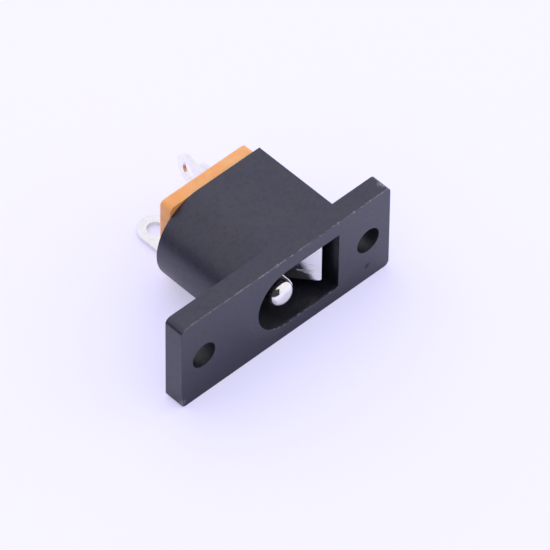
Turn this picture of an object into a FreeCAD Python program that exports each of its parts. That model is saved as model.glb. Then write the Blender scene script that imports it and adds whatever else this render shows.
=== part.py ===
import FreeCAD, Part
from FreeCAD import Vector
import math
import os

# Panel-mounted DC power jack for a 5.5 x 2.5 mm barrel plug, in millimetres.
# The plug axis is the Y axis. The flange's front face lies in the plane y = 0 and the
# socket runs back from it towards +Y. X runs along the flange and Z is up, so the jack
# lies on its long underside as it does on a bench.

# Plug and socket
PLUG_DIAMETER = 5.5
PLUG_PLAY = 0.6
SOCKET_SIDE_REACH = 5.7
BODY_DEPTH = 10.2

# Front flange
FLANGE_HEIGHT = 9.0
FLANGE_THICKNESS = 1.85
FLANGE_CORNER = 0.5
FRONT_EDGE_ROUND = 0.05
SCREW_PITCH = 17.8
SCREW_HOLE_DIAMETER = 2.4
SCREW_END_MARGIN = 2.4

# Housing behind the flange
SIDE_WALL = 1.0
BODY_EDGE_ROUND = 0.1

# Rear insulator, a plate with a spigot that plugs into the back of the socket
PLATE_THICKNESS = 1.2
PLATE_STEP = 0.1
PLATE_ROUND_SIDE_REACH = 3.05
PLATE_FLAT_SIDE_STEP = 0.45
PLATE_CORNER = 0.5
PLATE_LOW_CORNER_CUT = 1.3
PLATE_EDGE_ROUND = 0.1
SPIGOT_LENGTH = 1.3
SPIGOT_CLEARANCE = 0.04
SLOT_CLEARANCE = 0.03

# Centre pin, turned in one piece and riveted over its terminal
PIN_DIAMETER = 2.5
PIN_TIP_SETBACK = 0.05
PIN_TIP_ROUND = 0.85
COLLAR_DIAMETER = 3.6
COLLAR_THICKNESS = 0.8
SHANK_DIAMETER = 1.5
SHANK_CLEARANCE = 0.03
RIVET_HEAD_DIAMETER = 2.5
RIVET_HEAD_HEIGHT = 0.45

# Strip metal of the three contacts and their solder lugs
STRIP_THICKNESS = 0.3
BEND_RADIUS = 0.45
LUG_EYE_DIAMETER = 1.45

# Terminal of the centre pin, folded from the rivet down and out under the plate's edge
PIN_LUG_WIDTH = 3.0
PIN_LUG_REACH = 3.8
PIN_LUG_FLOOR_GAP = 0.15
TERMINAL_RECESS_DEPTH = 0.15
TERMINAL_RECESS_CLEARANCE = 0.05

# Sleeve spring, one strip from its lug to the free end that flares at the mouth
SPRING_PLANE = 3.3
SPRING_LEAF_WIDTH = 4.4
SPRING_LUG_WIDTH = 2.9
SPRING_LUG_REACH = 3.85
SPRING_LUG_LEAN = 8.0
SPRING_ROOT_LENGTH = 1.3
SPRING_PRELOAD = 0.3
SPRING_CREST_SETBACK = 3.55
SPRING_MOUTH_REACH = 4.75
SPRING_MOUTH_SETBACK = 0.94
SPRING_FREE_CORNER = 0.25

# Switch contact, which bears on the back of the spring while no plug is in
SWITCH_PLANE = 5.0
SWITCH_WIDTH = 2.7
SWITCH_FLOOR_CLEARANCE = 0.5
SWITCH_LUG_REACH = 3.0
SWITCH_ROOT_LENGTH = 1.7
SWITCH_PAD_START = 5.5
SWITCH_PAD_END = 4.2
CONTACT_GAP = 0.02

# Where the two strips stop short of the spigot. The spring's leaf is wider than its lug
# and needs nothing more, while the switch contact has a shoulder on its upper edge.
SHOULDER_LENGTH = 0.8
SHOULDER_REACH = 0.4
SHOULDER_GAP = 0.05

# Sizes that follow from the ones above
SOCKET_RADIUS = (PLUG_DIAMETER + PLUG_PLAY) / 2
HALF_LENGTH = SCREW_PITCH / 2 + SCREW_END_MARGIN
HALF_HEIGHT = FLANGE_HEIGHT / 2
BODY_SIDE_REACH = SOCKET_SIDE_REACH + SIDE_WALL
PLATE_REAR = BODY_DEPTH + PLATE_THICKNESS
SPIGOT_FACE = BODY_DEPTH - SPIGOT_LENGTH
SPIGOT_RADIUS = SOCKET_RADIUS - SPIGOT_CLEARANCE
SPIGOT_SIDE_REACH = SOCKET_SIDE_REACH - SPIGOT_CLEARANCE
TERMINAL_SEAT = PLATE_REAR - TERMINAL_RECESS_DEPTH
SHOULDER_END = SPIGOT_FACE - SHOULDER_GAP
SWITCH_LEVEL = SWITCH_WIDTH / 2 + SWITCH_FLOOR_CLEARANCE - SOCKET_RADIUS

# How far a cutting tool reaches past the faces that it cuts through
OVERRUN = 1.0

# Lengths and places that differ by less than this count as the same
MATCH = 1e-6


def edges_along(shape, direction, keep=lambda edge: True):
    """Straight edges of a shape that run along a direction and pass a test."""
    found = []
    for edge in shape.Edges:
        if len(edge.Vertexes) != 2:
            continue
        span = edge.Vertexes[1].Point - edge.Vertexes[0].Point
        if span.cross(direction).Length < MATCH * span.Length and keep(edge):
            found.append(edge)
    return found


def edges_at_depth(shape, depth):
    """Edges that lie all along one plane of constant y."""
    return [edge for edge in shape.Edges
            if abs(edge.BoundBox.YMin - depth) < MATCH and abs(edge.BoundBox.YMax - depth) < MATCH]


def block(x_range, y_range, z_range):
    """Box between two limits along each axis."""
    corner = Vector(x_range[0], y_range[0], z_range[0])
    return Part.makeBox(x_range[1] - x_range[0], y_range[1] - y_range[0], z_range[1] - z_range[0], corner)


def rod(centre, direction, diameter, length):
    """Cylinder whose middle lies at the centre."""
    start = centre - direction * (length / 2)
    return Part.makeCylinder(diameter / 2, length, start, direction)


def d_prism(radius, side_reach, start, end):
    """Prism along Y with a half-round towards -X, flat top and bottom, and a flat +X side."""
    top = Vector(0, start, radius)
    top_side = Vector(side_reach, start, radius)
    bottom_side = Vector(side_reach, start, -radius)
    bottom = Vector(0, start, -radius)
    outline = Part.Wire([
        Part.LineSegment(top, top_side).toShape(),
        Part.LineSegment(top_side, bottom_side).toShape(),
        Part.LineSegment(bottom_side, bottom).toShape(),
        Part.Arc(bottom, Vector(-radius, start, 0), top).toShape(),
    ])
    return Part.Face(outline).extrude(Vector(0, end - start, 0))


def left_of(direction):
    """Unit vector a quarter turn to the left of a direction in the XY plane."""
    return Vector(-direction.y, direction.x, 0)


def strip_side(route, shift):
    """One face of a bent strip, seen on edge: its route moved sideways, with tangent bends."""
    points = [route[0] + left_of((route[1] - route[0]).normalize()) * shift]
    bends = []
    for before, corner, after in zip(route, route[1:], route[2:]):
        arriving = (corner - before).normalize()
        leaving = (after - corner).normalize()
        half_turn = arriving.getAngle(leaving) / 2
        setback = BEND_RADIUS * math.tan(half_turn)
        inward = (leaving - arriving).normalize()
        middle = corner + inward * (BEND_RADIUS / math.cos(half_turn) - BEND_RADIUS)
        along = (arriving + leaving).normalize()
        points.append(corner - arriving * setback + left_of(arriving) * shift)
        bends.append(middle + left_of(along) * shift)
        points.append(corner + leaving * setback + left_of(leaving) * shift)
    points.append(route[-1] + left_of((route[-1] - route[-2]).normalize()) * shift)
    return points, bends


def bent_strip(route, low, high):
    """Strip of constant thickness that follows a route in the XY plane, from z = low to high."""
    edges = []
    ends = []
    for shift in (STRIP_THICKNESS / 2, -STRIP_THICKNESS / 2):
        points, bends = strip_side(route, shift)
        ends.append((points[0], points[-1]))
        for number, bend in enumerate(bends):
            run_start, bend_start, bend_end = points[2 * number:2 * number + 3]
            edges.append(Part.LineSegment(run_start, bend_start).toShape())
            edges.append(Part.Arc(bend_start, bend, bend_end).toShape())
        edges.append(Part.LineSegment(points[-2], points[-1]).toShape())
    edges.append(Part.LineSegment(ends[0][0], ends[1][0]).toShape())
    edges.append(Part.LineSegment(ends[0][1], ends[1][1]).toShape())
    outline = Part.Wire(Part.__sortEdges__(edges))
    strip = Part.Face(outline).extrude(Vector(0, 0, high - low))
    strip.translate(Vector(0, 0, low))
    return strip


def add_lug(strip, eye, direction, width):
    """Strip with a full-round end about the eye, and the eye cut through it."""
    lug = strip.fuse(rod(eye, direction, width, STRIP_THICKNESS)).removeSplitter()
    return lug.cut(rod(eye, direction, LUG_EYE_DIAMETER, STRIP_THICKNESS + OVERRUN))


def contact_strip(route, level, leaf_width, lug_width, top_shoulder):
    """Bent strip stamped to its outline: leaf, shoulder before the spigot, neck and round lug."""
    leaf_low = level - leaf_width / 2
    leaf_high = level + leaf_width / 2
    across = (0, BODY_SIDE_REACH)
    outline = block(across, (0, SHOULDER_END), (leaf_low, leaf_high))
    outline = outline.fuse(block(across, (SHOULDER_END - SHOULDER_LENGTH, SHOULDER_END),
                                 (leaf_low, leaf_high + top_shoulder)))
    outline = outline.fuse(block(across, (SHOULDER_END, route[0].y + OVERRUN),
                                 (level - lug_width / 2, level + lug_width / 2)))
    strip = bent_strip(route, leaf_low, leaf_high + top_shoulder)
    strip = strip.common(outline.removeSplitter())
    eye = Vector(route[0].x, route[0].y, level)
    facing = left_of((route[1] - route[0]).normalize())
    return add_lug(strip, eye, facing, lug_width)


def spring_route():
    """Middle of the sleeve spring from its lug forward: root, slant, crest and flared end."""
    crest_reach = PLUG_DIAMETER / 2 - SPRING_PRELOAD + STRIP_THICKNESS / 2
    lean_start = PLATE_REAR + BEND_RADIUS
    eye_depth = PLATE_REAR + SPRING_LUG_REACH
    lean = (eye_depth - lean_start) * math.tan(math.radians(SPRING_LUG_LEAN))
    return [
        Vector(SPRING_PLANE + lean, eye_depth, 0),
        Vector(SPRING_PLANE, lean_start, 0),
        Vector(SPRING_PLANE, SPIGOT_FACE - SPRING_ROOT_LENGTH, 0),
        Vector(crest_reach, SPRING_CREST_SETBACK, 0),
        Vector(SPRING_MOUTH_REACH, SPRING_MOUTH_SETBACK, 0),
    ]


def switch_route():
    """Middle of the switch contact: straight root, a crank, and a pad along the spring's back."""
    spring = spring_route()
    root, crest = spring[2], spring[3]
    behind = left_of((crest - root).normalize()) * (STRIP_THICKNESS + CONTACT_GAP)

    def beside_spring(depth):
        return root + (crest - root) * ((depth - root.y) / (crest.y - root.y)) + behind

    return [
        Vector(SWITCH_PLANE, PLATE_REAR + SWITCH_LUG_REACH, 0),
        Vector(SWITCH_PLANE, SPIGOT_FACE - SWITCH_ROOT_LENGTH, 0),
        beside_spring(SWITCH_PAD_START),
        beside_spring(SWITCH_PAD_END),
    ]


def make_housing():
    """Black moulding: flange, D-shaped body and the socket that runs right through it."""
    flange = block((-HALF_LENGTH, HALF_LENGTH), (0, FLANGE_THICKNESS), (-HALF_HEIGHT, HALF_HEIGHT))
    flange = flange.makeFillet(FLANGE_CORNER, edges_along(flange, Vector(0, 1, 0)))
    flange = flange.makeFillet(FRONT_EDGE_ROUND, edges_at_depth(flange, 0))

    # The body starts inside the flange, so that its edge rounds end at the flange's back.
    body = d_prism(HALF_HEIGHT, BODY_SIDE_REACH, FLANGE_THICKNESS / 2, BODY_DEPTH)
    side_edges = edges_along(body, Vector(0, 1, 0), lambda edge: edge.BoundBox.XMin > BODY_SIDE_REACH / 2)
    body = body.makeFillet(BODY_EDGE_ROUND, side_edges)

    housing = flange.fuse(body).removeSplitter()
    housing = housing.cut(d_prism(SOCKET_RADIUS, SOCKET_SIDE_REACH, -OVERRUN, BODY_DEPTH + OVERRUN))
    for side in (-1, 1):
        centre = Vector(side * SCREW_PITCH / 2, FLANGE_THICKNESS / 2, 0)
        housing = housing.cut(rod(centre, Vector(0, 1, 0), SCREW_HOLE_DIAMETER,
                                  FLANGE_THICKNESS + 2 * OVERRUN))
    return housing


def low_on_round_side(edge):
    """Whether an edge lies in the plate's lower quarter on the round side, where a corner is cut."""
    return edge.CenterOfMass.x < 0 and edge.CenterOfMass.z < 0


def make_rear_insulator():
    """Orange moulding: plate behind the body, spigot in the socket, and seats for the contacts."""
    plate_half = HALF_HEIGHT - PLATE_STEP
    plate = block((-PLATE_ROUND_SIDE_REACH, BODY_SIDE_REACH - PLATE_FLAT_SIDE_STEP),
                  (BODY_DEPTH, PLATE_REAR), (-plate_half, plate_half))
    plate = plate.makeChamfer(PLATE_LOW_CORNER_CUT,
                              edges_along(plate, Vector(0, 1, 0), low_on_round_side))
    plate = plate.makeFillet(PLATE_CORNER, edges_along(plate, Vector(0, 1, 0),
                                                       lambda edge: not low_on_round_side(edge)))
    plate = plate.makeFillet(PLATE_EDGE_ROUND, edges_at_depth(plate, PLATE_REAR))
    spigot = d_prism(SPIGOT_RADIUS, SPIGOT_SIDE_REACH, SPIGOT_FACE, BODY_DEPTH)
    insulator = plate.fuse(spigot)

    through = (SPIGOT_FACE - OVERRUN, PLATE_REAR + OVERRUN)
    middle = Vector(0, sum(through) / 2, 0)
    shank_hole = SHANK_DIAMETER + 2 * SHANK_CLEARANCE
    insulator = insulator.cut(rod(middle, Vector(0, 1, 0), shank_hole, through[1] - through[0]))
    half_slot = STRIP_THICKNESS / 2 + SLOT_CLEARANCE
    for plane, level, width in ((SPRING_PLANE, 0, SPRING_LUG_WIDTH),
                                (SWITCH_PLANE, SWITCH_LEVEL, SWITCH_WIDTH)):
        half_width = width / 2 + SLOT_CLEARANCE
        insulator = insulator.cut(block((plane - half_slot, plane + half_slot), through,
                                        (level - half_width, level + half_width)))

    # The recess keeps the pin's terminal from turning: round at the rivet, open at the foot.
    half_recess = PIN_LUG_WIDTH / 2 + TERMINAL_RECESS_CLEARANCE
    depths = (TERMINAL_SEAT, PLATE_REAR + OVERRUN)
    recess = block((-half_recess, half_recess), depths, (-HALF_HEIGHT, 0))
    round_centre = Vector(0, sum(depths) / 2, 0)
    recess = recess.fuse(rod(round_centre, Vector(0, 1, 0), 2 * half_recess, depths[1] - depths[0]))
    return insulator.cut(recess)


def make_centre_pin():
    """Turned pin: rounded tip, collar seated on the spigot, shank and riveted head."""
    radius = PIN_DIAMETER / 2
    collar_radius = COLLAR_DIAMETER / 2
    shank_radius = SHANK_DIAMETER / 2
    head_radius = RIVET_HEAD_DIAMETER / 2
    head_start = TERMINAL_SEAT + STRIP_THICKNESS
    round_centre = Vector(radius - PIN_TIP_ROUND, PIN_TIP_SETBACK + PIN_TIP_ROUND, 0)
    round_middle = round_centre + Vector(1, -1, 0) * (PIN_TIP_ROUND / math.sqrt(2))
    dome_radius = (head_radius ** 2 + RIVET_HEAD_HEIGHT ** 2) / (2 * RIVET_HEAD_HEIGHT)
    dome_centre = Vector(0, head_start + RIVET_HEAD_HEIGHT - dome_radius, 0)
    dome_half_angle = math.asin(head_radius / dome_radius) / 2
    dome_middle = dome_centre + Vector(math.sin(dome_half_angle), math.cos(dome_half_angle), 0) * dome_radius
    corners = [
        Vector(radius, round_centre.y, 0),
        Vector(radius, SPIGOT_FACE - COLLAR_THICKNESS, 0),
        Vector(collar_radius, SPIGOT_FACE - COLLAR_THICKNESS, 0),
        Vector(collar_radius, SPIGOT_FACE, 0),
        Vector(shank_radius, SPIGOT_FACE, 0),
        Vector(shank_radius, head_start, 0),
        Vector(head_radius, head_start, 0),
    ]
    tip = Vector(0, PIN_TIP_SETBACK, 0)
    flat_rim = Vector(round_centre.x, PIN_TIP_SETBACK, 0)
    head_top = Vector(0, head_start + RIVET_HEAD_HEIGHT, 0)
    edges = [Part.LineSegment(tip, flat_rim).toShape(),
             Part.Arc(flat_rim, round_middle, corners[0]).toShape()]
    edges += [Part.LineSegment(start, end).toShape() for start, end in zip(corners, corners[1:])]
    edges.append(Part.Arc(corners[-1], dome_middle, head_top).toShape())
    edges.append(Part.LineSegment(head_top, tip).toShape())
    return Part.Face(Part.Wire(edges)).revolve(Vector(0, 0, 0), Vector(0, 1, 0), 360)


def make_pin_terminal():
    """Folded strip: a round eye under the rivet, an arm down the plate, and the solder lug."""
    arm = TERMINAL_SEAT + STRIP_THICKNESS / 2
    level = PIN_LUG_FLOOR_GAP + STRIP_THICKNESS / 2 - HALF_HEIGHT
    lug_eye = Vector(0, PLATE_REAR + PIN_LUG_REACH, level)
    route = [Vector(arm, 0, 0), Vector(arm, level, 0), Vector(lug_eye.y, level, 0)]
    strip = bent_strip(route, -PIN_LUG_WIDTH / 2, PIN_LUG_WIDTH / 2)
    # The strip is drawn in the XY plane, and a third of a turn about the diagonal stands it in YZ.
    strip.rotate(Vector(0, 0, 0), Vector(1, 1, 1), 120)
    rivet_eye = Vector(0, arm, 0)
    strip = strip.fuse(rod(rivet_eye, Vector(0, 1, 0), PIN_LUG_WIDTH, STRIP_THICKNESS))
    strip = add_lug(strip, lug_eye, Vector(0, 0, 1), PIN_LUG_WIDTH)
    rivet_hole = SHANK_DIAMETER + 2 * SHANK_CLEARANCE
    return strip.cut(rod(rivet_eye, Vector(0, 1, 0), rivet_hole, STRIP_THICKNESS + OVERRUN))


def make_sleeve_spring():
    """Leaf that presses on the plug's sleeve, with its narrower solder lug."""
    spring = contact_strip(spring_route(), 0, SPRING_LEAF_WIDTH, SPRING_LUG_WIDTH, 0)
    free_corners = [edge for edge in spring.Edges
                    if abs(edge.Length - STRIP_THICKNESS) < MATCH
                    and edge.CenterOfMass.y < SPRING_CREST_SETBACK]
    return spring.makeFillet(SPRING_FREE_CORNER, free_corners)


def make_switch_contact():
    """Fixed contact behind the leaf, low in the socket, with one shoulder and its solder lug."""
    return contact_strip(switch_route(), SWITCH_LEVEL, SWITCH_WIDTH, SWITCH_WIDTH, SHOULDER_REACH)


def main():
    os.makedirs("parts", exist_ok=True)
    pieces = {
        "housing": make_housing(),
        "rear_insulator": make_rear_insulator(),
        "centre_pin": make_centre_pin(),
        "pin_terminal": make_pin_terminal(),
        "sleeve_spring": make_sleeve_spring(),
        "switch_contact": make_switch_contact(),
    }
    for name, piece in pieces.items():
        solid = piece.removeSplitter()
        solid.exportStep(f"parts/{name}.step")
        box = solid.BoundBox
        print(f"{name}: {solid.Volume:.2f} mm3, valid {solid.isValid()}, "
              f"x {box.XMin:.2f} to {box.XMax:.2f}, y {box.YMin:.2f} to {box.YMax:.2f}, "
              f"z {box.ZMin:.2f} to {box.ZMax:.2f}")


main()
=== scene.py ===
import math

import bpy
from mathutils import Matrix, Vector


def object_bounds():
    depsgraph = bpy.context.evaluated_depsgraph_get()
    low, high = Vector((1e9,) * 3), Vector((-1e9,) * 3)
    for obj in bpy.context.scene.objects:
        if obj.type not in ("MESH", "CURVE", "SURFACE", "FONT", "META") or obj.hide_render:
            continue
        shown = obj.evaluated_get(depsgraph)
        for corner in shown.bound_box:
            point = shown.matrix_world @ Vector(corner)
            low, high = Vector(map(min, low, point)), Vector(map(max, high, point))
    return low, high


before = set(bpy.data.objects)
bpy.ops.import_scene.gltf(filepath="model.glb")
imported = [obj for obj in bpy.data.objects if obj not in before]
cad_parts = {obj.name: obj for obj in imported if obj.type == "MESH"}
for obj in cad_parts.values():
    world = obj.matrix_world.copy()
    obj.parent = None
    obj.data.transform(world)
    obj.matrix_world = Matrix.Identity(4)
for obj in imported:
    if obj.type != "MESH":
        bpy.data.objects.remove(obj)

cad_low, cad_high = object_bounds()


# Housing: one black injection moulding, a flange with two screw holes and a D-shaped
# body behind it. The outside has a fine matt grain, and the socket and holes are smoother
# and darkened by painted shade. A painted highlight runs as a thin broken line along the
# flange's front edges, and handling has rubbed a few spots.

# Sizes in millimetres, as in all sections up to the table
FLANGE_HALF_LENGTH = 11.3
FLANGE_HALF_HEIGHT = 4.5
FLANGE_CORNER = 0.5
SOCKET_RADIUS = 3.05
SOCKET_SIDE = 5.7
SCREW_HOLE_PLACE = 8.9
SCREW_HOLE_RADIUS = 1.2

BLACK = (0.008, 0.0105, 0.034, 1.0)
BLACK_BROWNER = (0.017, 0.015, 0.030, 1.0)
BLACK_SPOTS = (0.002, 0.003, 0.010, 1.0)
BLACK_MARK = (0.0, 0.0, 0.0, 1.0)
# Painted shade inside the socket and the screw holes
BLACK_INSIDE_PAINTED_SHADE = (0.004, 0.005, 0.009, 1.0)
# Colour of the rubbed spots and flecks, and of the painted highlight along the front edge
RUBBED_AND_HIGHLIGHT = (0.30, 0.285, 0.28, 1.0)
BLACK_SHEEN = 0.77
MATT_OUTSIDE = (0.30, 0.44)
SMOOTH_INSIDE = (0.38, 0.54)

# Patterns: features per millimetre, detail and roughness of a noise, and the two of its
# levels that a patch rises between
CLOUDS = (0.30, 7.0, 0.72, 0.34, 0.68)
SPOTS = (2.8, 4.0, 0.7, 0.46, 0.66)
LONG_PATCHES = (0.35, 2.0, 0.5, 0.40, 0.60)
SHORT_PATCHES = (2.1, 3.0, 0.7, 0.38, 0.60)
DASHES = (3.2, 5.0, 0.8, 0.52, 0.62)
LIP_FLECKS = (1.3, 3.0, 0.7, 0.50, 0.62)
SPECKLE = (5.0, 3.0, 0.65, 0.40, 0.56)

# Plain noises: features per millimetre, detail and roughness
RIM_PATH = (1.6, 4.0, 0.65)
MARK_RAGGED = (2.4, 3.0, 0.7)
MATT_CLOUDS = (2.2, 4.0, 0.6)
SMOOTH_CLOUDS = (1.4, 3.0, 0.6)
FINE_GRAIN = (14.0, 2.0, 0.55)
COARSE_GRAIN = (2.6, 3.0, 0.5)
INSIDE_WAVES = (1.3, 3.0, 0.6)

# The painted highlight line along the front edge, and the flecks: pairs say where they
# start and where they are full, and shares say how much of the rubbed and highlight colour shows
RIM_BACK = (0.13, 0.03)
RIM_HALF_WIDTH = (0.10, 0.02)
RIM_WANDER = 0.13
RIM_AT_ENDS = (-0.3, 0.1)
RIM_ENDS_WORN_BELOW = (-2.8, -3.9)
RIM_ENDS_SPARED = 0.85
RIM_LEFT_FROM = (1.0, -3.0)
RIM_LEAST_RIGHT = 0.16
RIM_LEAST_LEFT = 0.30
RIM_MOST = 0.42
RIM_PATCH_SHARES = (0.35, 1.1)
DASH_SHARE = 0.85
LIP_HALF_WIDTH = (0.08, 0.01)
LIP_BELOW = (-1.0, -2.6)
LIP_SHARE = 0.6
SCUFF_CORE = 0.2
SCUFF_SHARE = 0.7

# The darker spots, the small dark mark, and where the socket and holes count as inside
SPOT_SHARE = 0.8
MARK_SIZE = (0.42, 0.10)
MARK_WANDER = 0.35
MARK_DULLED = 0.36
INSIDE_FROM = (0.10, 0.03)
DEEP_FROM = (0.02, 0.20)

# The grain's make-up and depth, and the small round on the moulded edges
FINE_GRAIN_SHARE = 0.7
COARSE_GRAIN_SHARE = 0.3
INSIDE_WAVE_SHARE = 13.0
GRAIN_DEPTH = 0.004
MOULD_EDGE_ROUND = 0.05
BEVEL_SAMPLES = 6

# One millimetre in the frame's metres
MM = 0.001

# Places and sizes of the rubbed spots, and the place of the small dark mark
SCUFFS = [
    ((11.0, 0.75, 4.5), 0.50),
    ((5.61, 0.0, 4.45), 0.20),
    ((7.30, 0.0, 4.45), 0.22),
    ((-1.03, 0.0, 4.45), 0.28),
    ((-11.25, 0.0, -3.9), 0.50),
    ((9.83, 0.0, 0.39), 0.22),
]
DARK_MARK = (8.87, 0.0, -2.85)


def add_node(tree, kind, inputs=None, **settings):
    """One shader node. inputs maps its sockets to plain values or to the sockets that feed them."""
    node = tree.nodes.new(kind)
    for name, value in settings.items():
        setattr(node, name, value)
    for name, value in (inputs or {}).items():
        if isinstance(value, bpy.types.NodeSocket):
            tree.links.new(value, node.inputs[name])
        else:
            node.inputs[name].default_value = value
    return node


def calc(tree, operation, *values):
    """The result of one Math node."""
    node = add_node(tree, "ShaderNodeMath", dict(enumerate(values)), operation=operation)
    return node.outputs[0]


def reach(tree, first, second):
    """Length of the hypotenuse over two sides."""
    squares = [calc(tree, "MULTIPLY", side, side) for side in (first, second)]
    return calc(tree, "SQRT", calc(tree, "ADD", *squares))


def distance(tree, place, point):
    """Distance of the coordinates from a fixed point."""
    apart = add_node(tree, "ShaderNodeVectorMath", {0: place, 1: point}, operation="DISTANCE")
    return apart.outputs["Value"]


def fade(tree, value, start, end):
    """0 up to start and 1 from end on, with a smooth rise between them."""
    inputs = {"Value": value, "From Min": start, "From Max": end}
    node = add_node(tree, "ShaderNodeMapRange", inputs, interpolation_type="SMOOTHSTEP")
    return node.outputs["Result"]


def between(tree, share, low, high):
    """Value between two others, as share goes from 0 to 1."""
    inputs = {"Value": share, "To Min": low, "To Max": high}
    return add_node(tree, "ShaderNodeMapRange", inputs).outputs["Result"]


def noise(tree, place, scale, detail, roughness):
    """Cloudy noise from 0 to 1. Its scale is in features per millimetre."""
    inputs = {"Vector": place, "Scale": scale, "Detail": detail, "Roughness": roughness}
    return add_node(tree, "ShaderNodeTexNoise", inputs).outputs["Fac"]


def patches(tree, place, pattern):
    """0 to 1 in soft patches of a noise, between two of its levels."""
    scale, detail, roughness, start, end = pattern
    return fade(tree, noise(tree, place, scale, detail, roughness), start, end)


def blend_colours(tree, share, first, second):
    """Colour between two others, as share goes from 0 to 1."""
    node = add_node(tree, "ShaderNodeMix", data_type="RGBA")
    factor, colour_a, colour_b = node.inputs[0], node.inputs[6], node.inputs[7]
    for socket, value in ((factor, share), (colour_a, first), (colour_b, second)):
        if isinstance(value, bpy.types.NodeSocket):
            tree.links.new(value, socket)
        else:
            socket.default_value = value
    return node.outputs[2]


def stretched(tree, place, scale, moved=(0.0, 0.0, 0.0)):
    """Coordinates stretched by a factor along each axis, and then moved."""
    inputs = {"Vector": place, "Scale": scale, "Location": moved}
    return add_node(tree, "ShaderNodeMapping", inputs).outputs["Vector"]


def split(tree, place):
    """The three coordinates one by one."""
    return add_node(tree, "ShaderNodeSeparateXYZ", {"Vector": place}).outputs


def new_material(name):
    """A material with only its Principled shader, and object coordinates in millimetres."""
    material = bpy.data.materials.new(name)
    material.use_nodes = True
    tree = material.node_tree
    shader = tree.nodes["Principled BSDF"]
    place = add_node(tree, "ShaderNodeTexCoord").outputs["Object"]
    place = stretched(tree, place, (1.0 / MM, 1.0 / MM, 1.0 / MM))
    return material, tree, shader, place


def relief(tree, shader, height, depth, edge_round=0.0):
    """Surface relief from a height of 0 to 1, over edges softened by a small round."""
    inputs = {"Height": height, "Distance": depth * MM, "Strength": 1.0}
    if edge_round:
        edges = add_node(tree, "ShaderNodeBevel", {"Radius": edge_round * MM}, samples=BEVEL_SAMPLES)
        inputs["Normal"] = edges.outputs["Normal"]
    bump = add_node(tree, "ShaderNodeBump", inputs)
    tree.links.new(bump.outputs["Normal"], shader.inputs["Normal"])


def dress(name, material):
    """Gives a CAD node its finished material."""
    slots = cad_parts[name].data.materials
    slots.clear()
    slots.append(material)


black, tree, shader, place = new_material("black_moulding_grained")
x, y, z = split(tree, place)
across = calc(tree, "ABSOLUTE", x)
off_axis = calc(tree, "ABSOLUTE", z)

# How far a point lies outside the flange's outline, the socket's and the nearest screw hole's
past_end = calc(tree, "SUBTRACT", across, FLANGE_HALF_LENGTH - FLANGE_CORNER)
past_side = calc(tree, "SUBTRACT", off_axis, FLANGE_HALF_HEIGHT - FLANGE_CORNER)
corner = reach(tree, calc(tree, "MAXIMUM", past_end, 0.0), calc(tree, "MAXIMUM", past_side, 0.0))
straight = calc(tree, "MINIMUM", calc(tree, "MAXIMUM", past_end, past_side), 0.0)
off_outline = calc(tree, "SUBTRACT", calc(tree, "ADD", corner, straight), FLANGE_CORNER)
round_side = calc(tree, "SUBTRACT", reach(tree, calc(tree, "MINIMUM", x, 0.0), z), SOCKET_RADIUS)
off_socket = calc(tree, "MAXIMUM", round_side, calc(tree, "SUBTRACT", x, SOCKET_SIDE))
from_hole = reach(tree, calc(tree, "SUBTRACT", across, SCREW_HOLE_PLACE), z)
off_hole = calc(tree, "SUBTRACT", from_hole, SCREW_HOLE_RADIUS)

# A painted highlight along the flange's front edge, where its round catches light: a faint
# base in patches, brighter dashes on it, and less of both on the two short ends
path = between(tree, noise(tree, place, *RIM_PATH), -RIM_WANDER, RIM_WANDER)
rim = fade(tree, calc(tree, "ABSOLUTE", calc(tree, "ADD", off_outline, path)), *RIM_HALF_WIDTH)
at_end = fade(tree, calc(tree, "SUBTRACT", past_end, past_side), *RIM_AT_ENDS)
spared = between(tree, fade(tree, z, *RIM_ENDS_WORN_BELOW), RIM_ENDS_SPARED, 0.0)
spared = calc(tree, "MULTIPLY", at_end, spared)
rim = calc(tree, "MULTIPLY", rim, calc(tree, "SUBTRACT", 1.0, spared))
least = between(tree, fade(tree, x, *RIM_LEFT_FROM), RIM_LEAST_RIGHT, RIM_LEAST_LEFT)
patchy = between(tree, patches(tree, place, LONG_PATCHES), least, RIM_MOST)
uneven = between(tree, patches(tree, place, SHORT_PATCHES), *RIM_PATCH_SHARES)
patchy = calc(tree, "MULTIPLY", patchy, uneven)
dashes = calc(tree, "MULTIPLY", patches(tree, place, DASHES), DASH_SHARE)
wear_and_highlight = calc(tree, "MULTIPLY", calc(tree, "MAXIMUM", patchy, dashes), rim)

# Flecks along the lower edge of the socket's mouth, and the rubbed spots
at_lip = fade(tree, calc(tree, "ABSOLUTE", off_socket), *LIP_HALF_WIDTH)
lip = calc(tree, "MULTIPLY", at_lip, fade(tree, z, *LIP_BELOW))
lip = calc(tree, "MULTIPLY", lip, patches(tree, place, LIP_FLECKS))
wear_and_highlight = calc(tree, "MAXIMUM", wear_and_highlight, calc(tree, "MULTIPLY", lip, LIP_SHARE))
wear_and_highlight = calc(tree, "MULTIPLY", wear_and_highlight, fade(tree, y, *RIM_BACK))
speckle = patches(tree, place, SPECKLE)
for centre, size in SCUFFS:
    near = fade(tree, distance(tree, place, centre), size, size * SCUFF_CORE)
    scuff = calc(tree, "MULTIPLY", near, speckle)
    wear_and_highlight = calc(tree, "MAXIMUM", wear_and_highlight, calc(tree, "MULTIPLY", scuff, SCUFF_SHARE))
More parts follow.
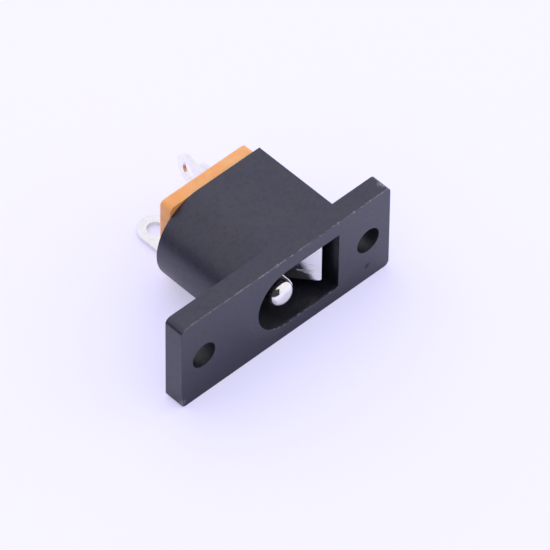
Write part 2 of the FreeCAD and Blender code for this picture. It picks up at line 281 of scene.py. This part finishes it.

# Colour, gloss and grain, with the socket and holes wavier than the outside and blackened
# by painted shade
inside = fade(tree, calc(tree, "MINIMUM", off_socket, off_hole), *INSIDE_FROM)
deep = calc(tree, "MULTIPLY", inside, fade(tree, y, *DEEP_FROM))
ragged = between(tree, noise(tree, place, *MARK_RAGGED), -MARK_WANDER, MARK_WANDER)
marked = fade(tree, calc(tree, "ADD", distance(tree, place, DARK_MARK), ragged), *MARK_SIZE)
spots = calc(tree, "MULTIPLY", patches(tree, place, SPOTS), SPOT_SHARE)
colour = blend_colours(tree, patches(tree, place, CLOUDS), BLACK, BLACK_BROWNER)
colour = blend_colours(tree, spots, colour, BLACK_SPOTS)
colour = blend_colours(tree, marked, colour, BLACK_MARK)
# Painted shade deep in the socket and the holes
colour = blend_colours(tree, deep, colour, BLACK_INSIDE_PAINTED_SHADE)
# Rubbed flecks and spots, and the painted highlight along the front edge
colour = blend_colours(tree, wear_and_highlight, colour, RUBBED_AND_HIGHLIGHT)
tree.links.new(colour, shader.inputs["Base Color"])
shader.inputs["Specular IOR Level"].default_value = BLACK_SHEEN
matt = between(tree, noise(tree, place, *MATT_CLOUDS), *MATT_OUTSIDE)
matt = calc(tree, "ADD", matt, calc(tree, "MULTIPLY", marked, MARK_DULLED))
smooth = between(tree, noise(tree, place, *SMOOTH_CLOUDS), *SMOOTH_INSIDE)
roughness = calc(tree, "ADD", calc(tree, "MULTIPLY", matt, calc(tree, "SUBTRACT", 1.0, deep)),
                 calc(tree, "MULTIPLY", smooth, deep))
tree.links.new(roughness, shader.inputs["Roughness"])
fine = calc(tree, "MULTIPLY", noise(tree, place, *FINE_GRAIN), FINE_GRAIN_SHARE)
coarse = calc(tree, "MULTIPLY", noise(tree, place, *COARSE_GRAIN), COARSE_GRAIN_SHARE)
waves = calc(tree, "MULTIPLY", noise(tree, place, *INSIDE_WAVES), deep)
waves = calc(tree, "MULTIPLY", waves, INSIDE_WAVE_SHARE)
height = calc(tree, "ADD", calc(tree, "ADD", fine, coarse), waves)
relief(tree, shader, height, GRAIN_DEPTH, MOULD_EDGE_ROUND)
dress("housing", black)


# Rear insulator: one smooth orange moulding pressed on the back of the housing. The
# plastic is a little translucent, so light spreads in it, and a painted highlight makes
# its rear edges pale.

# Sizes of the plate, and where the painted highlight on its rear edge starts and is full
PLATE_REAR = 11.4
PLATE_MIDDLE = 1.6
PLATE_HALF_WIDTH = 4.65
PLATE_HALF_HEIGHT = 4.4
ORANGE = (0.905, 0.462, 0.155, 1.0)
ORANGE_DEEPER = (0.88, 0.385, 0.095, 1.0)
ORANGE_EDGE_HIGHLIGHT = (0.86, 0.56, 0.36, 1.0)
ORANGE_CLOUDS = (0.7, 4.0, 0.6, 0.3, 0.75)
ORANGE_ROUGHNESS = (0.32, 0.46)
ORANGE_DULLER_PLACES = (3.0, 3.0, 0.6)
ORANGE_GRAIN = (6.0, 3.0, 0.5)
ORANGE_GRAIN_DEPTH = 0.003
ORANGE_EDGE_ROUND = 0.06
EDGE_BEHIND_OUTLINE = (-0.24, -0.08)
EDGE_BEFORE_REAR = (-0.16, -0.02)
EDGE_PALE_PLACES = (1.2, 3.0, 0.6)
EDGE_PALENESS = (0.35, 0.95)
LIGHT_SPREAD_SHARE = 0.50
LIGHT_SPREAD = (0.8, 0.3, 0.1)

orange, tree, shader, place = new_material("orange_moulding_smooth")
x, y, z = split(tree, place)
across = calc(tree, "ABSOLUTE", calc(tree, "SUBTRACT", x, PLATE_MIDDLE))
past_end = calc(tree, "SUBTRACT", across, PLATE_HALF_WIDTH)
past_side = calc(tree, "SUBTRACT", calc(tree, "ABSOLUTE", z), PLATE_HALF_HEIGHT)
# Painted highlight along the plate's rear edges, paler in some places than in others
outline = fade(tree, calc(tree, "MAXIMUM", past_end, past_side), *EDGE_BEHIND_OUTLINE)
rear = fade(tree, calc(tree, "SUBTRACT", y, PLATE_REAR), *EDGE_BEFORE_REAR)
pale_places = between(tree, noise(tree, place, *EDGE_PALE_PLACES), *EDGE_PALENESS)
rear_edge_highlight = calc(tree, "MULTIPLY", calc(tree, "MULTIPLY", rear, outline), pale_places)
colour = blend_colours(tree, patches(tree, place, ORANGE_CLOUDS), ORANGE, ORANGE_DEEPER)
colour = blend_colours(tree, rear_edge_highlight, colour, ORANGE_EDGE_HIGHLIGHT)
tree.links.new(colour, shader.inputs["Base Color"])
roughness = between(tree, noise(tree, place, *ORANGE_DULLER_PLACES), *ORANGE_ROUGHNESS)
tree.links.new(roughness, shader.inputs["Roughness"])
shader.inputs["Subsurface Weight"].default_value = LIGHT_SPREAD_SHARE
shader.inputs["Subsurface Radius"].default_value = [depth * MM for depth in LIGHT_SPREAD]
shader.inputs["Subsurface Scale"].default_value = 1.0
relief(tree, shader, noise(tree, place, *ORANGE_GRAIN), ORANGE_GRAIN_DEPTH, ORANGE_EDGE_ROUND)
dress("rear_insulator", orange)


# Centre pin: turned from brass and nickel plated, bright, with the faint rings that the
# lathe tool left round its axis.

NICKEL = (0.91, 0.895, 0.85, 1.0)
NICKEL_DULLER = (0.84, 0.82, 0.78, 1.0)
TARNISH = (1.8, 3.0, 0.6, 0.45, 0.8)
NICKEL_CLOUDS = (4.0, 3.0, 0.6)
NICKEL_ROUGHNESS = (0.05, 0.13)
LATHE_RINGS = (1.0, 2.0, 0.6)
LATHE_RING_STRETCH = (1.5, 26.0, 1.5)
LATHE_RING_DEPTH = 0.0012

nickel, tree, shader, place = new_material("nickel_plating_turned")
colour = blend_colours(tree, patches(tree, place, TARNISH), NICKEL, NICKEL_DULLER)
tree.links.new(colour, shader.inputs["Base Color"])
shader.inputs["Metallic"].default_value = 1.0
roughness = between(tree, noise(tree, place, *NICKEL_CLOUDS), *NICKEL_ROUGHNESS)
tree.links.new(roughness, shader.inputs["Roughness"])
rings = noise(tree, stretched(tree, place, LATHE_RING_STRETCH), *LATHE_RINGS)
relief(tree, shader, rings, LATHE_RING_DEPTH)
dress("centre_pin", nickel)


# Contact strips: the sleeve spring, the switch contact and the pin's terminal are stamped
# from tinned brass strip and folded. The flats are bright and faintly ribbed by the rolls.
# The spring's leaf tilts a little, curls at its lower edge and is rubbed along its length.

TIN = (0.91, 0.90, 0.885, 1.0)
TIN_DULLER = (0.85, 0.835, 0.815, 1.0)
TIN_POLISHED = (0.97, 0.965, 0.95, 1.0)
TIN_CLOUDS = (1.4, 4.0, 0.65, 0.35, 0.75)
TIN_ROUGHNESS = (0.14, 0.26)
ROLLED_RIBS = (2.2, 3.0, 0.6)
ROLLED_STRETCH = (1.0, 1.0, 9.0)
ROLLED_DEPTH = 0.0025
STRIP_EDGE_ROUND = 0.04

# The spring's leaf, from its slant to its free end at the socket's mouth
LEAF_STARTS = (4.0, 3.0)
LEAF_POLISH = 0.5
LEAF_TILT = -0.090
LEAF_CURL = 0.010
RUB_MARKS = (1.0, 2.0, 0.6, 0.62, 0.70)
RUB_STRETCH = (0.35, 0.35, 6.0)
RUB_MOVED = (0.0, 0.10, -3.5)
RUB_STARTS = (4.0, 2.0)
RUB_ENDS = (1.1, 1.6)
RUB_DEPTH = -0.006


def tin_plating(name):
    """Tin plating, with a colour, a roughness and rolled ribs that aren't linked yet."""
    tin, tree, shader, place = new_material(name)
    cloud = patches(tree, place, TIN_CLOUDS)
    colour = blend_colours(tree, cloud, TIN, TIN_DULLER)
    satin = between(tree, cloud, *TIN_ROUGHNESS)
    ribs = noise(tree, stretched(tree, place, ROLLED_STRETCH), *ROLLED_RIBS)
    rolled = calc(tree, "MULTIPLY", ribs, ROLLED_DEPTH)
    shader.inputs["Metallic"].default_value = 1.0
    return tin, tree, shader, place, colour, satin, rolled


tin, tree, shader, place, colour, satin, rolled = tin_plating("tin_plating_stamped")
tree.links.new(colour, shader.inputs["Base Color"])
tree.links.new(satin, shader.inputs["Roughness"])
relief(tree, shader, rolled, 1.0, STRIP_EDGE_ROUND)
for name in ("pin_terminal", "switch_contact"):
    dress(name, tin)

tin, tree, shader, place, colour, satin, rolled = tin_plating("tin_plating_sprung")
x, y, z = split(tree, place)
on_leaf = fade(tree, y, *LEAF_STARTS)
colour = blend_colours(tree, on_leaf, colour, TIN_POLISHED)
tree.links.new(colour, shader.inputs["Base Color"])
polished = calc(tree, "MULTIPLY", satin, between(tree, on_leaf, 1.0, LEAF_POLISH))
tree.links.new(polished, shader.inputs["Roughness"])
below_axis = calc(tree, "MAXIMUM", calc(tree, "MULTIPLY", z, -1.0), 0.0)
curl = calc(tree, "MULTIPLY", calc(tree, "POWER", below_axis, 3.0), LEAF_CURL)
bent = calc(tree, "ADD", curl, calc(tree, "MULTIPLY", z, LEAF_TILT))
bent = calc(tree, "MULTIPLY", bent, on_leaf)
rubbed = patches(tree, stretched(tree, place, RUB_STRETCH, RUB_MOVED), RUB_MARKS)
rubbed_part = calc(tree, "MULTIPLY", fade(tree, y, *RUB_STARTS), fade(tree, y, *RUB_ENDS))
rubbed = calc(tree, "MULTIPLY", rubbed, rubbed_part)
rubbed = calc(tree, "MULTIPLY", rubbed, RUB_DEPTH)
height = calc(tree, "ADD", rolled, calc(tree, "ADD", bent, rubbed))
relief(tree, shader, height, 1.0, STRIP_EDGE_ROUND)
dress("sleeve_spring", tin)


# Table: a plain pale sheet that the jack lies on, wide enough to fill every view. Seen
# directly it is nearly white, in part by its own plain colour, so that the jack's shadow
# stays soft. Mirrored in the jack it carries a painted shade at the flange's foot, and it
# is darker far on the left.

# Sizes and places in metres
TABLE_SIZE = 4.0
TABLE_LIT = (0.84, 0.83, 0.90, 1.0)
TABLE_SEEN = (0.945, 0.93, 1.14, 1.0)
TABLE_MIRRORED = (1.0, 0.99, 1.06, 1.0)
TABLE_PAINTED_SHADE_AT_FOOT = (0.65, 0.65, 0.72, 1.0)
TABLE_FAR_LEFT = (0.10, 0.10, 0.12, 1.0)
TABLE_OWN_SHARE = 0.42
FOOT_FRONT = -0.0065
FOOT_FRONT_AT_SOCKET = -0.0020
FOOT_DARKEST = -0.0005
FOOT_BACK = (0.002, 0.0)
FOOT_LEFT = (-0.0140, -0.0105)
FOOT_RIGHT = (0.0115, 0.0045)
SOCKET_LEFT = (-0.0030, -0.0010)
SOCKET_RIGHT = (0.0095, 0.0075)
FAR_LEFT = (-0.011, -0.036)

for chosen in bpy.context.selected_objects:
    chosen.select_set(False)
bpy.ops.mesh.primitive_plane_add(size=TABLE_SIZE, location=(0, 0, cad_low.z))
table = bpy.context.object
table.name = "table"
pale = bpy.data.materials.new("pale_table")
pale.use_nodes = True
tree = pale.node_tree
tree.nodes.clear()


def background_seen(tree):
    """1 where the camera, a mirror or a clear piece looks at the background, and otherwise 0."""
    path = add_node(tree, "ShaderNodeLightPath")
    mirrored = calc(tree, "MAXIMUM", path.outputs["Is Glossy Ray"], path.outputs["Is Transmission Ray"])
    return calc(tree, "MAXIMUM", path.outputs["Is Camera Ray"], mirrored)


seen = background_seen(tree)
by_camera = add_node(tree, "ShaderNodeLightPath").outputs["Is Camera Ray"]
x, y, z = split(tree, add_node(tree, "ShaderNodeTexCoord").outputs["Object"])
# Painted shade on the table at the flange's foot, seen only in mirrors
at_socket = calc(tree, "MULTIPLY", fade(tree, x, *SOCKET_LEFT), fade(tree, x, *SOCKET_RIGHT))
front = between(tree, at_socket, FOOT_FRONT, FOOT_FRONT_AT_SOCKET)
painted_shade_at_foot = calc(tree, "MULTIPLY", fade(tree, y, front, FOOT_DARKEST), fade(tree, y, *FOOT_BACK))
sides = calc(tree, "MULTIPLY", fade(tree, x, *FOOT_LEFT), fade(tree, x, *FOOT_RIGHT))
painted_shade_at_foot = calc(tree, "MULTIPLY", painted_shade_at_foot, sides)
mirrored = blend_colours(tree, painted_shade_at_foot, TABLE_MIRRORED, TABLE_PAINTED_SHADE_AT_FOOT)
mirrored = blend_colours(tree, fade(tree, x, *FAR_LEFT), mirrored, TABLE_FAR_LEFT)
shown = blend_colours(tree, by_camera, mirrored, TABLE_SEEN)
colour = blend_colours(tree, seen, TABLE_LIT, shown)
lit = add_node(tree, "ShaderNodeBsdfDiffuse", {"Color": colour}).outputs[0]
own = add_node(tree, "ShaderNodeEmission", {"Color": shown, "Strength": 1.0}).outputs[0]
own_share = calc(tree, "MULTIPLY", by_camera, TABLE_OWN_SHARE)
surface = add_node(tree, "ShaderNodeMixShader", {0: own_share, 1: lit, 2: own}).outputs[0]
add_node(tree, "ShaderNodeOutputMaterial", {"Surface": surface})
table.data.materials.append(pale)


# Light: a pale room, brightest above and behind the jack. In the metal and the plastic it
# also shows a dark screen that stands in front on the left, and a dark low side on the left.

SKY_SEEN = (0.930, 0.913, 1.0, 1.0)
SKY_LIGHT = (0.95, 0.945, 1.18, 1.0)
SKY_LOW = 0.45
SKY_HIGH = 1.20
SKY_MIRRORED = 0.90
SKY_DARK = 0.06
BRIGHT_SIDE = (0.58, 0.25, 0.775)
LIGHT_SPREADS = (-0.3, 0.6)
MIRRORED_SPREADS = (-0.7, 0.2)
MIRRORED_STRENGTH = (0.75, 1.15)

# The screen's middle and its width, as seen from the jack, and how far it reaches aside
# and above, as tangents
SCREEN_SIDE = (-0.707, -0.707, 0.0)
SCREEN_ACROSS = (0.707, -0.707, 0.0)
SCREEN_EDGE_ASIDE = (0.72, 0.56)
SCREEN_EDGE_ABOVE = (1.45, 1.15)
LEAST_AHEAD = 0.001
LOW_SIDE = (-0.866, 0.5, 0.0)
LOW_SIDE_SPREADS = (0.3, 0.7)
LOW_SIDE_TOP = (0.21, -0.01)
LOW_SIDE_DARKNESS = 0.9

world = bpy.data.worlds.new("studio")
bpy.context.scene.world = world
world.use_nodes = True
tree = world.node_tree
tree.nodes.clear()
towards = add_node(tree, "ShaderNodeTexCoord").outputs["Generated"]
rise = split(tree, towards)["Z"]


def facing(tree, direction):
    """Cosine of the angle between the seen part of the sky and a direction."""
    inputs = {0: towards, 1: direction}
    return add_node(tree, "ShaderNodeVectorMath", inputs, operation="DOT_PRODUCT").outputs["Value"]


to_bright_side = facing(tree, BRIGHT_SIDE)
bright = between(tree, fade(tree, to_bright_side, *LIGHT_SPREADS), SKY_LOW, SKY_HIGH)
light = add_node(tree, "ShaderNodeBackground", {"Color": SKY_LIGHT, "Strength": bright}).outputs[0]

ahead = calc(tree, "MAXIMUM", facing(tree, SCREEN_SIDE), LEAST_AHEAD)
aside = calc(tree, "DIVIDE", calc(tree, "ABSOLUTE", facing(tree, SCREEN_ACROSS)), ahead)
above = calc(tree, "DIVIDE", rise, ahead)
screen = calc(tree, "MULTIPLY", fade(tree, aside, *SCREEN_EDGE_ASIDE),
              fade(tree, above, *SCREEN_EDGE_ABOVE))
low_side = fade(tree, facing(tree, LOW_SIDE), *LOW_SIDE_SPREADS)
low_side = calc(tree, "MULTIPLY", low_side, fade(tree, rise, *LOW_SIDE_TOP))
dark = calc(tree, "MAXIMUM", screen, calc(tree, "MULTIPLY", low_side, LOW_SIDE_DARKNESS))
soft = between(tree, fade(tree, to_bright_side, *MIRRORED_SPREADS), *MIRRORED_STRENGTH)
mirrored = calc(tree, "MULTIPLY", soft, between(tree, dark, SKY_MIRRORED, SKY_DARK))
by_camera = add_node(tree, "ShaderNodeLightPath").outputs["Is Camera Ray"]
strength = between(tree, by_camera, mirrored, 1.0)
backdrop = add_node(tree, "ShaderNodeBackground", {"Color": SKY_SEEN, "Strength": strength}).outputs[0]
surface = add_node(tree, "ShaderNodeMixShader", {0: background_seen(tree), 1: light, 2: backdrop})
add_node(tree, "ShaderNodeOutputWorld", {"Surface": surface.outputs[0]})


# Camera: a long lens, high on the left of the flange's front, as the photograph was taken.
# It looks down on the jack at about 48 degrees and is rolled by less than one degree.

CAMERA_PLACE = (-0.28323531, -0.29214556, 0.45031522)
CAMERA_AZIMUTH = math.radians(-43.98114)
CAMERA_ELEVATION = math.radians(47.73262)
CAMERA_ROLL = math.radians(0.69810)
LENS = 504.5
SENSOR_WIDTH = 36.0
NEAR_CLIP = 0.01
FAR_CLIP = 20.0

camera = bpy.data.objects.new("camera", bpy.data.cameras.new("camera"))
bpy.context.scene.collection.objects.link(camera)
camera.data.lens = LENS
camera.data.sensor_width = SENSOR_WIDTH
camera.data.clip_start = NEAR_CLIP
camera.data.clip_end = FAR_CLIP
turn = (Matrix.Rotation(CAMERA_AZIMUTH, 3, "Z")
        @ Matrix.Rotation(math.pi / 2 - CAMERA_ELEVATION, 3, "X")
        @ Matrix.Rotation(CAMERA_ROLL, 3, "Z"))
camera.location = CAMERA_PLACE
camera.rotation_euler = turn.to_euler()
bpy.context.scene.camera = camera
bpy.context.scene.view_settings.view_transform = "Standard"
